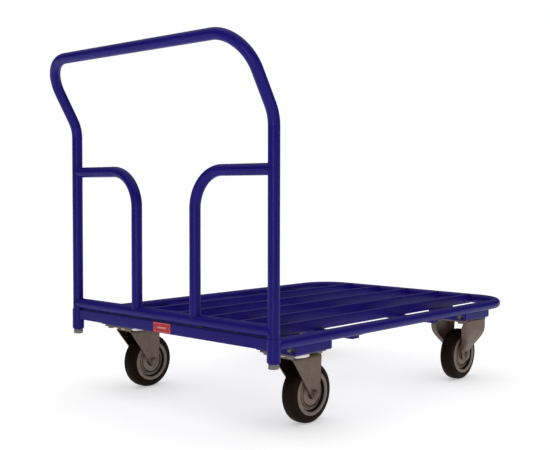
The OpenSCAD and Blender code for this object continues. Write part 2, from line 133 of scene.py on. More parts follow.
# Bolts, nuts and washers; a hexagon's round end face is a share of its width across flats
BOLT_R = 5 * MM
BOLT_AF = 17 * MM
HEX_TIP = 0.95
HEX_HALF_SIDE = math.pi / 6
THREAD_PITCH = 1.25 * MM
THREAD_DEPTH = 0.6 * MM
THREAD_TIP = 0.4 * MM
WASHER_T = 1.6 * MM
WASHER_EDGE = 0.4 * MM

# Casters: plates, wheels and the legs beside them, which spread apart above SPREAD_Z
REAR_PLATE_LOW, REAR_PLATE_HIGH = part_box("rear_left_top_plate")
PLATE_TOP, PLATE_T = REAR_PLATE_HIGH.z, 5 * MM
PLATE_LOW = PLATE_TOP - PLATE_T
HOLE_X, HOLE_Y = 105 * MM, 80 * MM
TYRE_LOW, TYRE_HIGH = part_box("rear_left_tyre")
WHEEL_R = (TYRE_HIGH.z - TYRE_LOW.z) / 2
TYRE_HALF = (TYRE_HIGH.y - TYRE_LOW.y) / 2
AXLE_Z = WHEEL_R
RIM_LOW, RIM_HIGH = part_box("rear_left_rim")
RIM_R = (RIM_HIGH.z - RIM_LOW.z) / 2
LEG_Y = 28 * MM
LEG_T = 4 * MM
SPREAD_Z = AXLE_Z + 13.5 * MM
CROWN_Z = PLATE_LOW - 8 * MM
PRESSED_EDGE = 0.7 * MM

# Fixed bracket: half widths, arc radii and heights of its side outline, its bends, and the flanges
# turned in along its legs, which rise above the axle and get smaller near the bolts
SHOULDER_HALF, SHOULDER_R, SHOULDER_Z = 51.5 * MM, 50 * MM, 170 * MM
NECK_HALF, NECK_R, NECK_Z = 18 * MM, 25 * MM, AXLE_Z + 24 * MM
DIAGONAL = math.sqrt(0.5)
BRACKET_LOW, BRACKET_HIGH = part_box("front_left_bracket")
BRACKET_HALF = (BRACKET_HIGH.y - BRACKET_LOW.y) / 2
BRACKET_TOP_Z = 165 * MM
BRACKET_BEND, BEND_SHARE = 2.2 * MM, 0.9
BRACKET_CORNER = 9 * MM
LEG_SUNK = 1 * MM
FLANGE, FLANGE_LOSS = 17 * MM, 5 * MM
FLANGE_START, FLANGE_RISE, FLANGE_FALL = AXLE_Z + 4 * MM, 22 * MM, 10 * MM

# Swivel fork: side outline from its kingpin, crown and the cup round its ball race
FORK_BACK, FORK_FRONT = -42 * MM, 69 * MM
FORK_END_R = 17 * MM
TRAIL = (TYRE_LOW.x + TYRE_HIGH.x) / 2 - (REAR_PLATE_LOW.x + REAR_PLATE_HIGH.x) / 2
FORK_END_X = TRAIL + 5.5 * MM
CROWN_Y = 36 * MM
CROWN_BEND = 9 * MM
CUP_R, CUP_T, CUP_DROP, CUP_GAP = 42 * MM, 2.5 * MM, 3 * MM, 1 * MM
CUP_EDGE = 1.1 * MM

# Tyre: how square its section is, the lip over the rim's edge, and its grooves as (place across it,
# width, depth) in shares
TYRE_POWER = 3.5
TYRE_LIP = 1 * MM
GROOVE_DEPTH = 1.1 * MM
TYRE_GROOVES = ((0.55, 0.035, 1.0), (0.2, 0.03, 0.5))

# Rim: (radius, height) in mm of its outer face, and of the near-black skins of painted shade over its
# two rings; the deep ring's outer wall is a little thicker than the sheet
RIM_FACE = ((57.4, 19.0), (57.4, 22.4), (48.0, 22.4), (45.8, 13.5), (39.5, 13.5), (36.5, 18.5),
            (33.5, 18.5), (32.0, 17.3), (25.0, 17.3), (22.5, 19.5), (17.2, 19.5))
RIM_PAINTED_SHADE = (((47.1, 20.4), (45.5, 14.6), (45.0, 13.9), (44.2, 13.75)),
               ((35.0, 18.75), (33.6, 18.75), (32.6, 18.0), (32.0, 17.6)))
RIM_T = 2.2 * MM
RIM_BEND = 1.3 * MM
RIM_EDGE = 4  # points of the flange's edge, which has no inner face
RING_WALL_R, RING_WALL_T = 45 * MM, 0.6 * MM
# Thickness of the near-black skins of painted shade over the rim's rings
PAINTED_SHADE_T = 0.5 * MM

# Hub seals: (radius, height) in mm of their section
SEAL = ((10.2, 21.3), (16.5, 21.3), (15.5, 22.6), (10.2, 22.6))
SEAL_EDGE = 0.5 * MM
WHEEL_SEGMENTS, SEAL_SEGMENTS = 144, 64


# ---------------------------------------------------------------- meshes

def piece(name, bm, material, body, replaces=(), sharp=35, bevel=0, painted_shade=None):
    """Turns a bmesh into an object that rides on its body.

    Edges up to the angle sharp are shaded smooth, and an optional second material is painted shade."""
    bmesh.ops.remove_doubles(bm, verts=bm.verts, dist=1e-6)
    bmesh.ops.recalc_face_normals(bm, faces=bm.faces)
    mesh = bpy.data.meshes.new(name)
    bm.to_mesh(mesh)
    bm.free()
    for face in mesh.polygons:
        face.use_smooth = True
    mesh.set_sharp_from_angle(angle=math.radians(sharp))
    mesh.materials.append(material)
    if painted_shade:
        mesh.materials.append(painted_shade)
    obj = bpy.data.objects.new(name, mesh)
    bpy.context.collection.objects.link(obj)
    if bevel:
        soften(obj, bevel)
    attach(obj, body)
    if replaces:
        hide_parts(*replaces)


def soften(obj, width):
    """Rounds an object's sharp edges with a small bevel."""
    bevel = obj.modifiers.new("bevel", "BEVEL")
    bevel.width = width
    bevel.segments = 2
    bevel.limit_method = "ANGLE"
    bevel.angle_limit = math.radians(40)
    bevel.use_clamp_overlap = True


def turn(steps):
    """The angles of a whole turn in so many equal steps."""
    return [2 * math.pi * k / steps for k in range(steps)]


def shares(steps):
    """The shares 0 to 1 at the ends of so many equal steps."""
    return [k / steps for k in range(steps + 1)]


def scaled(points):
    """Points given as (radius, height) in mm, in metres."""
    return [(r * MM, z * MM) for r, z in points]


def add_grid(bm, rows, close_rows=False, close_columns=False):
    """Adds a grid of points as quads, closed round in either direction if asked."""
    verts = [[bm.verts.new(p) for p in row] for row in rows]
    m, n = len(verts), len(verts[0])
    for i in range(m if close_rows else m - 1):
        for j in range(n if close_columns else n - 1):
            a, b = verts[i], verts[(i + 1) % m]
            bm.faces.new((a[j], a[(j + 1) % n], b[(j + 1) % n], b[j]))
    return verts


def add_closed_tube(bm, rows):
    """Adds rows that each go round, with a face over the first and over the last."""
    verts = add_grid(bm, rows, close_columns=True)
    bm.faces.new(verts[0])
    bm.faces.new(verts[-1])


def add_lathe(bm, profile, place, segments=96, closed=True):
    """Turns a profile of (radius, height) points round the Z axis of the matrix place."""
    rows = [[place @ Vector((r * math.cos(a), r * math.sin(a), z)) for r, z in profile]
            for a in turn(segments)]
    add_grid(bm, rows, close_rows=True, close_columns=closed)


def add_prism(bm, outline, low, high, place):
    """Stands an outline of (x, y) points up along the Z axis of the matrix place."""
    add_closed_tube(bm, [[place @ Vector((x, y, z)) for x, y in outline] for z in (low, high)])


def add_hex(bm, across, low, high, place, chamfer_steps=4, segments=48):
    """Adds a hexagon with both ends chamfered, standing on the Z axis of the matrix place."""
    flat = across / 2
    slope = math.tan(HEX_HALF_SIDE)
    chamfer = flat * (1 / math.cos(HEX_HALF_SIDE) - HEX_TIP) * slope
    rises = [chamfer * share for share in shares(chamfer_steps)]
    rows = []
    for z in [low + rise for rise in rises] + [high - rise for rise in reversed(rises)]:
        cone = flat * HEX_TIP + min(z - low, high - z) / slope
        row = []
        for a in turn(segments):
            off_middle = (a + HEX_HALF_SIDE) % (2 * HEX_HALF_SIDE) - HEX_HALF_SIDE
            r = min(flat / math.cos(off_middle), cone)
            row.append(place @ Vector((r * math.cos(a), r * math.sin(a), z)))
        rows.append(row)
    add_closed_tube(bm, rows)


def add_thread(bm, radius, low, high, place):
    """Adds a threaded end: ridges about one pitch apart, as (radius, share of a turn), and a tip."""
    turns = max(1, round((high - low) / THREAD_PITCH))
    step = (high - low) / turns
    root = radius - THREAD_DEPTH
    ridge = ((root, 0.3), (root, 0.45), (radius, 0.75), (radius, 1))
    profile = [(0, low), (radius, low)]
    for i in range(turns):
        z = low + i * step
        profile += [(r, z + share * step) for r, share in ridge]
    profile += [(root, high + THREAD_TIP), (0, high + THREAD_TIP)]
    add_lathe(bm, profile, place, segments=32, closed=False)


def add_washer(bm, inner, outer, low, high, place):
    """Adds a flat ring with slightly rounded edges."""
    ring = [(inner, low), (outer, low), (outer, high), (inner, high)]
    add_lathe(bm, rounded(ring, WASHER_EDGE), place, segments=48)


def bead_size(i, n, ripples, closed):
    """A weld bead's size at point i of n: lightly rippled, and thinner at open ends."""
    size = 1 + BEAD_RIPPLE * math.sin(2 * math.pi * ripples * i / n)
    if not closed:
        size *= min(1, BEAD_END + BEAD_GROWTH * min(i, n - 1 - i) / n)
    return size


def add_bead(bm, points, radius, ripples=7, closed=False):
    """Sweeps a small circle along a path, as a weld bead."""
    rows = []
    n = len(points)
    for i, point in enumerate(points):
        after = points[(i + 1) % n] if closed or i < n - 1 else points[i]
        before = points[i - 1] if closed or i > 0 else points[i]
        along = (after - before).normalized()
        side = along.cross(Z)
        if side.length <= UPRIGHT:
            side = along.cross(X)
        side.normalize()
        over = side.cross(along)
        size = radius * bead_size(i, n, ripples, closed)
        rows.append([point + (side * math.cos(a) + over * math.sin(a)) * size
                     for a in turn(BEAD_SIDES)])
    if closed:
        add_grid(bm, rows, close_rows=True, close_columns=True)
    else:
        add_closed_tube(bm, rows)


def inner_rows(rows, thickness):
    """The grid's points moved inwards by the thickness, along the grid's own normals."""
    m, n = len(rows), len(rows[0])
    moved = []
    normals = [Vector((0, 0, 0))] * n
    for i in range(m):
        last = normals
        normals = []
        for j in range(n):
            down = rows[min(i + 1, m - 1)][j] - rows[max(i - 1, 0)][j]
            across = rows[i][min(j + 1, n - 1)] - rows[i][max(j - 1, 0)]
            normal = down.cross(across)
            normals.append(normal.normalized() if normal.length > TINY else last[j])
        moved.append([p - v * thickness for p, v in zip(rows[i], normals)])
    return moved


def add_thick_sheet(bm, rows, thickness, painted_shade=0):
    """Adds a sheet whose outer face is the grid of points; its inner face may take a material of
    painted shade.
    """
    m, n = len(rows), len(rows[0])
    outer = add_grid(bm, rows)
    before = len(bm.faces)
    inner = add_grid(bm, inner_rows(rows, thickness))
    bm.faces.ensure_lookup_table()
    for face in bm.faces[before:]:
        face.material_index = painted_shade
    for i in range(m - 1):
        for j in (0, n - 1):
            bm.faces.new((outer[i][j], outer[i + 1][j], inner[i + 1][j], inner[i][j]))
    for j in range(n - 1):
        for i in (0, m - 1):
            bm.faces.new((outer[i][j], outer[i][j + 1], inner[i][j + 1], inner[i][j]))


def rounded(points, radius, steps=3, closed=True):
    """Replaces each corner of a path of (x, y) points by a short curve."""
    out = []
    n = len(points)
    for i, point in enumerate(points):
        here = Vector(point)
        if not closed and i in (0, n - 1):
            out.append(tuple(here))
            continue
        before = Vector(points[i - 1]) - here
        after = Vector(points[(i + 1) % n]) - here
        cut = min(radius, before.length / 2, after.length / 2)
        start = here + before.normalized() * cut
        end = here + after.normalized() * cut
        for t in shares(steps):
            out.append(tuple(start * (1 - t) ** 2 + here * (2 * t * (1 - t)) + end * t ** 2))
    return out


def rectangle(width, height, radius, steps=5):
    """A rectangle round the origin with rounded corners."""
    x, y = width / 2, height / 2
    return rounded([(x, -y), (x, y), (-x, y), (-x, -y)], radius, steps)


def straight(a, b, steps=14):
    """Points along a straight line."""
    return [a.lerp(b, share) for share in shares(steps)]


def centre(node):
    """The middle of a CAD node's box."""
    low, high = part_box(node)
    return (low + high) / 2


def at(point, turned=Matrix.Identity(4)):
    """The matrix of a place, with a turn if asked."""
    return Matrix.Translation(point) @ turned


# ---------------------------------------------------------------- materials

class Shader:
    """A small helper that builds one node material."""

    def __init__(self, name):
        self.material = bpy.data.materials.new(name)
        self.material.use_nodes = True
        self.tree = self.material.node_tree
        self.principled = self.tree.nodes["Principled BSDF"]
        self.place = self.node("ShaderNodeTexCoord").outputs["Object"]

    def node(self, kind, **inputs):
        made = self.tree.nodes.new(kind)
        for key, value in inputs.items():
            made.inputs[key.replace("_", " ")].default_value = value
        return made

    def link(self, output, target):
        self.tree.links.new(output, target)

    def noise(self, scale, detail=3.0, roughness=0.5, stretch=(1.0, 1.0, 1.0)):
        """Noise over the object's own coordinates."""
        mapping = self.node("ShaderNodeMapping", Scale=stretch)
        made = self.node("ShaderNodeTexNoise", Scale=scale, Detail=detail, Roughness=roughness)
        self.link(self.place, mapping.inputs["Vector"])
        self.link(mapping.outputs["Vector"], made.inputs["Vector"])
        return made.outputs["Fac"]

    def cells(self, scale):
        """Distance from the middle of small cells, like plating crystals."""
        made = self.node("ShaderNodeTexVoronoi", Scale=scale)
        self.link(self.place, made.inputs["Vector"])
        return made.outputs["Distance"]

    def sum(self, a, b, share):
        """a plus share times b."""
        made = self.node("ShaderNodeMath")
        made.operation = "MULTIPLY_ADD"
        self.link(b, made.inputs[0])
        made.inputs[1].default_value = share
        self.link(a, made.inputs[2])
        return made.outputs["Value"]

    def colour(self, value, colours, low=0.3, high=0.7):
        """Base colour: the first colour where value is low, the second where it is high."""
        made = self.node("ShaderNodeValToRGB")
        for stop, position, colour in zip(made.color_ramp.elements, (low, high), colours):
            stop.position = position
            stop.color = (*colour, 1)
        self.link(value, made.inputs["Fac"])
        self.link(made.outputs["Color"], self.principled.inputs["Base Color"])

    def roughness(self, value, smooth, rough, low=0.3, high=0.7):
        """Roughness: smooth where value is low, rough where it is high."""
        made = self.node("ShaderNodeMapRange", From_Min=low, From_Max=high, To_Min=smooth, To_Max=rough)
        self.link(value, made.inputs["Value"])
        self.link(made.outputs["Result"], self.principled.inputs["Roughness"])

    def bump(self, height, distance, strength):
        """Surface relief, its distance in metres."""
        made = self.node("ShaderNodeBump", Strength=strength, Distance=distance)
        self.link(height, made.inputs["Height"])
        self.link(made.outputs["Normal"], self.principled.inputs["Normal"])

    def set(self, **inputs):
        for key, value in inputs.items():
            self.principled.inputs[key.replace("_", " ")].default_value = value


def paint(name, colours):
    """Semi-gloss powder coat: faint orange peel and slow colour drift."""
    s = Shader(name)
    peel = s.noise(scale=900, detail=2)
    speck = s.noise(scale=2600, detail=1)
    s.colour(s.noise(scale=7, detail=4), colours)
    s.roughness(s.noise(scale=40), smooth=0.31, rough=0.40)
    s.bump(s.sum(peel, speck, share=0.35), distance=0.12 * MM, strength=0.5)
    s.set(IOR=1.5, Specular_IOR_Level=0.13)
    return s.material


def steel(name, colours, metallic, rough, gloss=0.4):
    """Dull zinc-plated pressed steel: mottled, slightly brown, with faint drawing marks."""
    s = Shader(name)
    mottle = s.noise(scale=55, detail=6, roughness=0.65)
    grain = s.noise(scale=420, detail=3)
    marks = s.noise(scale=300, detail=4, stretch=(1.0, 1.0, 0.12))
    s.colour(s.sum(mottle, grain, share=0.25), colours, low=0.40, high=0.78)
    s.roughness(marks, smooth=rough - 0.07, rough=rough + 0.09)
    s.bump(s.sum(mottle, marks, share=0.5), distance=0.15 * MM, strength=0.35)
    s.set(Metallic=metallic, Specular_IOR_Level=gloss)
    return s.material


def zinc(name, colours, rough):
    """Bright zinc plating with fine crystals, lightest in the middle of each."""
    s = Shader(name)
    s.colour(s.cells(scale=700), reversed(colours), low=0.0, high=0.8)
    s.roughness(s.noise(scale=260, detail=4), smooth=rough - 0.08, rough=rough + 0.08)
    s.bump(s.noise(scale=900, detail=2), distance=0.06 * MM, strength=0.4)
    s.set(Metallic=0.85)
    return s.material


def rubber(name, colours):
    """Matt black solid rubber with a fine moulded grain and dusty patches."""
    s = Shader(name)
    dust = s.noise(scale=24, detail=6, roughness=0.6)
    grain = s.noise(scale=1500, detail=3)
    waves = s.noise(scale=160, detail=3)
    s.colour(dust, colours, low=0.35, high=0.75)
    s.roughness(dust, smooth=0.48, rough=0.68, high=0.75)
    s.bump(s.sum(grain, waves, share=0.8), distance=0.12 * MM, strength=0.5)
    s.set(IOR=1.45, Specular_IOR_Level=0.12, Specular_Tint=RUBBER_TINT)
    return s.material


def enamel(name, colours, rough=0.5):
    """Thin printed enamel on a metal plate."""
    s = Shader(name)
    s.colour(s.noise(scale=90, detail=3), colours)
    s.roughness(s.noise(scale=300), smooth=rough - 0.05, rough=rough + 0.07)
    s.bump(s.noise(scale=1200, detail=2), distance=0.04 * MM, strength=0.3)
    return s.material


def concrete(name, colours):
    """The studio's pale matt floor, which glows a little."""
    s = Shader(name)
    s.colour(s.noise(scale=3, detail=4), colours)
    s.set(Roughness=0.9, Emission_Color=WHITE, Emission_Strength=FLOOR_GLOW)
    return s.material


PAINT = paint("blue_paint", PAINT_COLOURS)
CASTER_STEEL = steel("caster_steel", CASTER_COLOURS, metallic=0.35, rough=0.46)
RIM_STEEL = steel("rim_steel", RIM_COLOURS, metallic=0.35, rough=0.42)
# Painted shade: near-black steel that stands in for the shade inside the forks and in the rim's rings
PAINTED_SHADE_STEEL = steel("painted_shade_steel", PAINTED_SHADE_COLOURS, metallic=0.2, rough=0.6, gloss=0.1)
ZINC = zinc("zinc", ZINC_COLOURS, rough=0.40)
BRIGHT_ZINC = zinc("bright_zinc", BRIGHT_COLOURS, rough=0.34)
RUBBER = rubber("tyre_rubber", RUBBER_COLOURS)
LABEL = enamel("label_red", LABEL_COLOURS)
PALE = enamel("label_pale", PALE_COLOURS)
BY_SLOT = {"blue_paint": PAINT, "caster_steel": CASTER_STEEL, "rim_steel": RIM_STEEL, "zinc": ZINC,
           "tyre_rubber": RUBBER, "label_red": LABEL}


def dress_cad_nodes():
    """Gives every CAD node the material of its slot."""
    for part in frame["record"]["subparts"]:
        materials = frame["nodes"][part["node"]].data.materials
        materials.clear()
        materials.append(BY_SLOT[part["material_slot"]])


# ---------------------------------------------------------------- platform

def bars():
    """Slats, rear beam and cross bars as tubes with the round corners of drawn steel."""
    for node in SLATS:
        low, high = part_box(node)
        middle = (low + high) / 2
        outline = rectangle(high.z - low.z, high.y - low.y, BAR_CORNER)
        bm = bmesh.new()
        add_prism(bm, outline, low.x - EMBED, FRONT_X - TUBE_R + EMBED,
                  at(Vector((0, middle.y, middle.z)), ALONG_X))
        piece(f"{node}_tube", bm, PAINT, "chassis", [node])
    for node in ("rear_beam", *CROSS_BARS):
        low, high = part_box(node)
        middle = (low + high) / 2
        embed = EMBED if node == "rear_beam" else 0
        outline = rectangle(high.x - low.x, high.z - low.z, BAR_CORNER)
        bm = bmesh.new()
        add_prism(bm, outline, low.y - embed, high.y + embed,
                  at(Vector((middle.x, 0, middle.z)), ALONG_Y))
        piece(f"{node}_tube", bm, PAINT, "chassis", [node])


def mounts():
    """Caster mounts: one bent sheet each, with round bends."""
    for end in ENDS:
        for side, s in SIDES.items():
            node = f"{end}_{side}_mount"
            low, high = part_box(node)
            inner, outer = (low.y, high.y) if s > 0 else (high.y, low.y)
            corners = [(inner, BAR_LOW), (inner, low.z), (outer, low.z), (outer, MOUNT_EDGE_Z)]
            section = rounded(corners, MOUNT_BEND, steps=5, closed=False)
            rows = [[Vector((low.x + (high.x - low.x) * share, y, z)) for y, z in section]
                    for share in shares(6)]
            bm = bmesh.new()
            add_thick_sheet(bm, rows, -s * MOUNT_T)
            piece(f"{node}_sheet", bm, PAINT, "chassis", [node], bevel=0.6 * MM)


# ---------------------------------------------------------------- welds

def saddle(host, tube_axis, host_axis, host_r, steps=48):
    """The closed line where a round tube, leaving along tube_axis, meets a round host."""
    third = tube_axis.cross(host_axis)
    line = []
    for a in turn(steps):
        off, along = TUBE_R * math.cos(a), TUBE_R * math.sin(a)
        out = math.sqrt(max(0.0, host_r ** 2 - off ** 2))
        line.append(host + third * off + host_axis * along + tube_axis * out)
    return line


def weld_handle(bm):
    """Beads round the branches, the rail and the side tubes, where each meets its host."""
    for s in (-1, 1):
        joins = (((REAR_X, s * SIDE_Y, BRANCH_Z), -s * Y, Z, TUBE_R),
                 ((REAR_X, s * SIDE_Y, RAIL_Z), -s * Y, Z, TUBE_R),
                 ((REAR_X, s * BRANCH_Y, RAIL_Z), Z, Y, TUBE_R),
                 ((REAR_X, s * SIDE_Y, TUBE_Z), X, Z, SOCKET_R))
        for place, tube_axis, host_axis, host_r in joins:
            line = saddle(Vector(place), tube_axis, host_axis, host_r)
            add_bead(bm, line, SADDLE_BEAD, SADDLE_RIPPLES, closed=True)


def weld_slats(bm, steps=14):
    """Upright beads where each slat meets the rear beam and the front tube."""
    beam_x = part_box("rear_beam")[1].x
    for node in SLATS:
        low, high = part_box(node)
        for y in (low.y, high.y):
            foot = Vector((beam_x, y, low.z + BAR_BEAD_INSET))
            head = Vector((beam_x, y, high.z - BAR_BEAD_INSET))
            add_bead(bm, straight(foot, head), BAR_BEAD)
            curve = []
            for share in shares(steps):
                h = (2 * share - 1) * (TUBE_R - BAR_BEAD_INSET)
                curve.append(Vector((FRONT_X - math.sqrt(TUBE_R ** 2 - h ** 2), y, TUBE_Z + h)))
            add_bead(bm, curve, BAR_BEAD)


def weld_cross_bars(bm):
    """Beads under the slats and at the side tubes, along each cross bar."""
    for node in CROSS_BARS:
        low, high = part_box(node)
        tube_y = SIDE_Y - math.sqrt(max(0.0, TUBE_R ** 2 - (TUBE_Z - high.z) ** 2))
        places = [corner.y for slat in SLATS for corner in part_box(slat)]
        for y in [*places, -tube_y, tube_y]:
            add_bead(bm, straight(Vector((low.x, y, high.z)), Vector((high.x, y, high.z))), BAR_BEAD)


def weld_mounts(bm):
    """Two short beads along each upper edge of the caster mounts."""
    for end in ENDS:
        for side, s in SIDES.items():
            low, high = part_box(f"{end}_{side}_mount")
            inner, outer = (low.y, high.y) if s > 0 else (high.y, low.y)
            length = (high.x - low.x) / MOUNT_BEAD_PARTS
            for part in MOUNT_BEAD_STARTS:
                start = low.x + part * length
                for y, z in ((outer, MOUNT_BEAD_Z), (inner, BAR_LOW)):
                    ends = Vector((start, y, z)), Vector((start + length, y, z))
                    add_bead(bm, straight(*ends), MOUNT_BEAD)


def welds():
    """Painted weld beads at every joint of the frame and of the handle."""
    bm = bmesh.new()
    weld_handle(bm)
    weld_slats(bm)
    weld_cross_bars(bm)
    weld_mounts(bm)
    piece("weld_beads", bm, PAINT, "chassis", sharp=60)


# ---------------------------------------------------------------- label and handle bolts

def label():
    """The red plate on the rear beam, blank, with a thin pale border and bar, and its two rivets."""
    low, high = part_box("label_plate")
    width, height = high.y - low.y, high.z - low.z
    corner = 2 * MM
    face = at(Vector((low.x, (low.y + high.y) / 2, (low.z + high.z) / 2)), FACING_BACK)
    bm = bmesh.new()
    add_prism(bm, rectangle(height, width, corner), low.x - high.x, 0, face)
    piece("label_plate_red", bm, LABEL, "chassis", ["label_plate"], bevel=0.2 * MM)
    label_border(face, width, height)
    label_rivets(low.x, (low.z + high.z) / 2)


def label_border(face, width, height):
    """A raised pale line near the label's edge, and a plain bar in place of any print."""
    margin, line, rise = 1.5 * MM, 0.8 * MM, 0.15 * MM
    outer_corner, inner_corner = 1.5 * MM, 1.2 * MM
    bar_width, bar_length, bar_corner = 4 * MM, 0.5 * width, 1 * MM
    inset = margin + line
    outer = rectangle(height - 2 * margin, width - 2 * margin, outer_corner)
    inner = rectangle(height - 2 * inset, width - 2 * inset, inner_corner)
    section = ((outer, 0), (outer, rise), (inner, rise), (inner, 0))
    loops = [[face @ Vector((x, y, z)) for x, y in loop] for loop, z in section]
    bm = bmesh.new()
    add_grid(bm, loops, close_rows=True, close_columns=True)
    add_prism(bm, rectangle(bar_width, bar_length, bar_corner), 0, rise, face)
    piece("label_border", bm, PALE, "chassis")


def label_rivets(face_x, z):
    """Domed rivet heads at both ends of the label."""
    low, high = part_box("label_rivets")
    head, rise, sunk = 3 * MM, 1.2 * MM, 0.2 * MM
    dome = [(head * math.cos(QUARTER * share), rise * math.sin(QUARTER * share)) for share in shares(8)]
    bm = bmesh.new()
    for y in (low.y + head, high.y - head):
        place = at(Vector((face_x, y, z)), FACING_BACK)
        add_lathe(bm, [(head, -sunk), *dome], place, segments=32, closed=False)
    piece("label_rivet_heads", bm, ZINC, "chassis", ["label_rivets"])


def handle_bolts():
    """The hexagon bolts under the two sockets, with washers."""
    across, washer_t, washer_inner, washer_step = 23 * MM, 3 * MM, 6 * MM, 3.5 * MM
    head_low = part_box("handle_bolts")[0].z
    washer_low = SOCKET_LOW.z - washer_t
    bm = bmesh.new()
    for s in (-1, 1):
        place = at(Vector((REAR_X, s * SIDE_Y, 0)))
        add_washer(bm, washer_inner, SOCKET_R - washer_step, washer_low, SOCKET_LOW.z, place)
        add_hex(bm, across, head_low, washer_low, place)
    piece("handle_bolt_heads", bm, ZINC, "chassis", ["handle_bolts"])


# ---------------------------------------------------------------- casters

def bolt_places():
    """The 16 bolt centres of the four caster plates."""
    for node in ("rear_left_top_plate", "rear_right_top_plate", "front_left_bracket",
                 "front_right_bracket"):
        middle = centre(node)
        for dx in (-HOLE_X / 2, HOLE_X / 2):
            for dy in (-HOLE_Y / 2, HOLE_Y / 2):
                yield at(Vector((middle.x + dx, middle.y + dy, 0)))


def caster_bolts():
    """Hexagon bolts up through the plates and mounts, with washers and nuts on top."""
    washer_r = 10.5 * MM
    head_low, tail_top = (v.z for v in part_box("caster_bolts"))
    nut_low, nut_high = (v.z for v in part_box("caster_nuts"))
    bolts, nuts = bmesh.new(), bmesh.new()
    for place in bolt_places():
        add_hex(bolts, BOLT_AF, head_low, PLATE_LOW, place)
        add_thread(bolts, BOLT_R, nut_high, tail_top, place)
        add_washer(nuts, BOLT_R, washer_r, nut_low, nut_low + WASHER_T, place)
        add_hex(nuts, BOLT_AF, nut_low + WASHER_T, nut_high, place)
    piece("caster_bolt_heads", bolts, ZINC, "chassis", ["caster_bolts"])
    piece("caster_nut_set", nuts, ZINC, "chassis", ["caster_nuts"])


def bracket_half(z):
    """Half the bracket leg's width along the trolley at height z."""
    top = SHOULDER_Z - SHOULDER_R * DIAGONAL
    low = NECK_Z + NECK_R * DIAGONAL
    if z >= SHOULDER_Z:
        return SHOULDER_HALF
    if z >= top:
        return SHOULDER_HALF - SHOULDER_R + math.sqrt(SHOULDER_R ** 2 - (SHOULDER_Z - z) ** 2)
    if z >= low:
        wide = SHOULDER_HALF - SHOULDER_R * (1 - DIAGONAL)
        narrow = NECK_HALF + NECK_R * (1 - DIAGONAL)
        return narrow + (wide - narrow) * (z - low) / (top - low)
    if z >= NECK_Z:
        return NECK_HALF + NECK_R - math.sqrt(NECK_R ** 2 - (z - NECK_Z) ** 2)
    if z >= AXLE_Z:
        return NECK_HALF
    return math.sqrt(max(0.0, NECK_HALF ** 2 - (AXLE_Z - z) ** 2))


def bracket_out(z):
    """Half the outside width of the bracket at height z."""
    t = max(0.0, min(1.0, (z - SPREAD_Z) / (BRACKET_TOP_Z - SPREAD_Z)))
    return LEG_Y + (BRACKET_HALF - LEG_Y) * math.sin(QUARTER * t)


def smooth_step(t):
    """A soft rise from 0 to 1 as t goes from 0 to 1."""
    t = max(0.0, min(1.0, t))
    return t * t * (3 - 2 * t)


def bracket_flange(z):
    """Depth of the flange turned in along the leg's edges: less near the bolts and the axle."""
    rise = smooth_step((z - FLANGE_START) / FLANGE_RISE)
    fall = smooth_step((z - SHOULDER_Z) / FLANGE_FALL)
    return FLANGE * rise - FLANGE_LOSS * fall


def bracket_leg_row(z, bend_steps=4, flat_steps=6):
    """One level of a leg's outer face, as (x, y): flange, bend, flat face, bend, flange."""
    half, out, depth = bracket_half(z), bracket_out(z), bracket_flange(z)
    r = min(BRACKET_BEND, depth * BEND_SHARE, half * BEND_SHARE)
    right = [(half - r + r * math.sin(QUARTER * share), out - r + r * math.cos(QUARTER * share))
             for share in shares(bend_steps)]
    right += [(half, out - r - (depth - r) * share) for share in (0.5, 1)]
    flat = [((half - r) * (2 * share - 1), out) for share in shares(flat_steps)[1:-1]]
    return [(-x, y) for x, y in reversed(right)] + flat + right


def fixed_brackets():
    """Fixed casters: a plate and two pressed legs that close in above the wheel."""
    top = PLATE_LOW + LEG_SUNK
    heights = [top - (top - AXLE_Z) * share for share in shares(28)]
    heights += [AXLE_Z - NECK_HALF * math.sin(QUARTER * share) for share in shares(8)[1:]]
    for side in SIDES:
        node = f"front_{side}_bracket"
        low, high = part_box(node)
        middle = (low + high) / 2
        bm = bmesh.new()
        for s in (-1, 1):
            rows = [[Vector((middle.x + x, middle.y + s * y, z)) for x, y in bracket_leg_row(z)]
                    for z in heights]
            add_thick_sheet(bm, rows, s * LEG_T)
        plate = rectangle(high.x - low.x, high.y - low.y, BRACKET_CORNER)
        add_prism(bm, plate, PLATE_LOW, PLATE_TOP, at(Vector((middle.x, middle.y, 0))))
        piece(f"{node}_pressing", bm, CASTER_STEEL, "chassis", [node],
              bevel=PRESSED_EDGE)


def fork_span(z):
    """Where the fork's leg begins and ends along the trolley at height z."""
    rise, run = CROWN_Z - AXLE_Z, FORK_END_X - FORK_BACK
    lean = math.atan2(run, rise) - math.asin(FORK_END_R / math.hypot(rise, run))
    drop = AXLE_Z - z
    arc = math.sqrt(max(0.0, FORK_END_R ** 2 - drop ** 2))
    front = FORK_END_X + arc
    if z > AXLE_Z:
        tip = FORK_END_X + FORK_END_R
        front = tip + (FORK_FRONT - tip) * (z - AXLE_Z) / rise
    back = FORK_BACK + (CROWN_Z - z) * math.tan(lean)
    if drop > FORK_END_R * math.sin(lean):
        back = FORK_END_X - arc
    return min(back, front), front


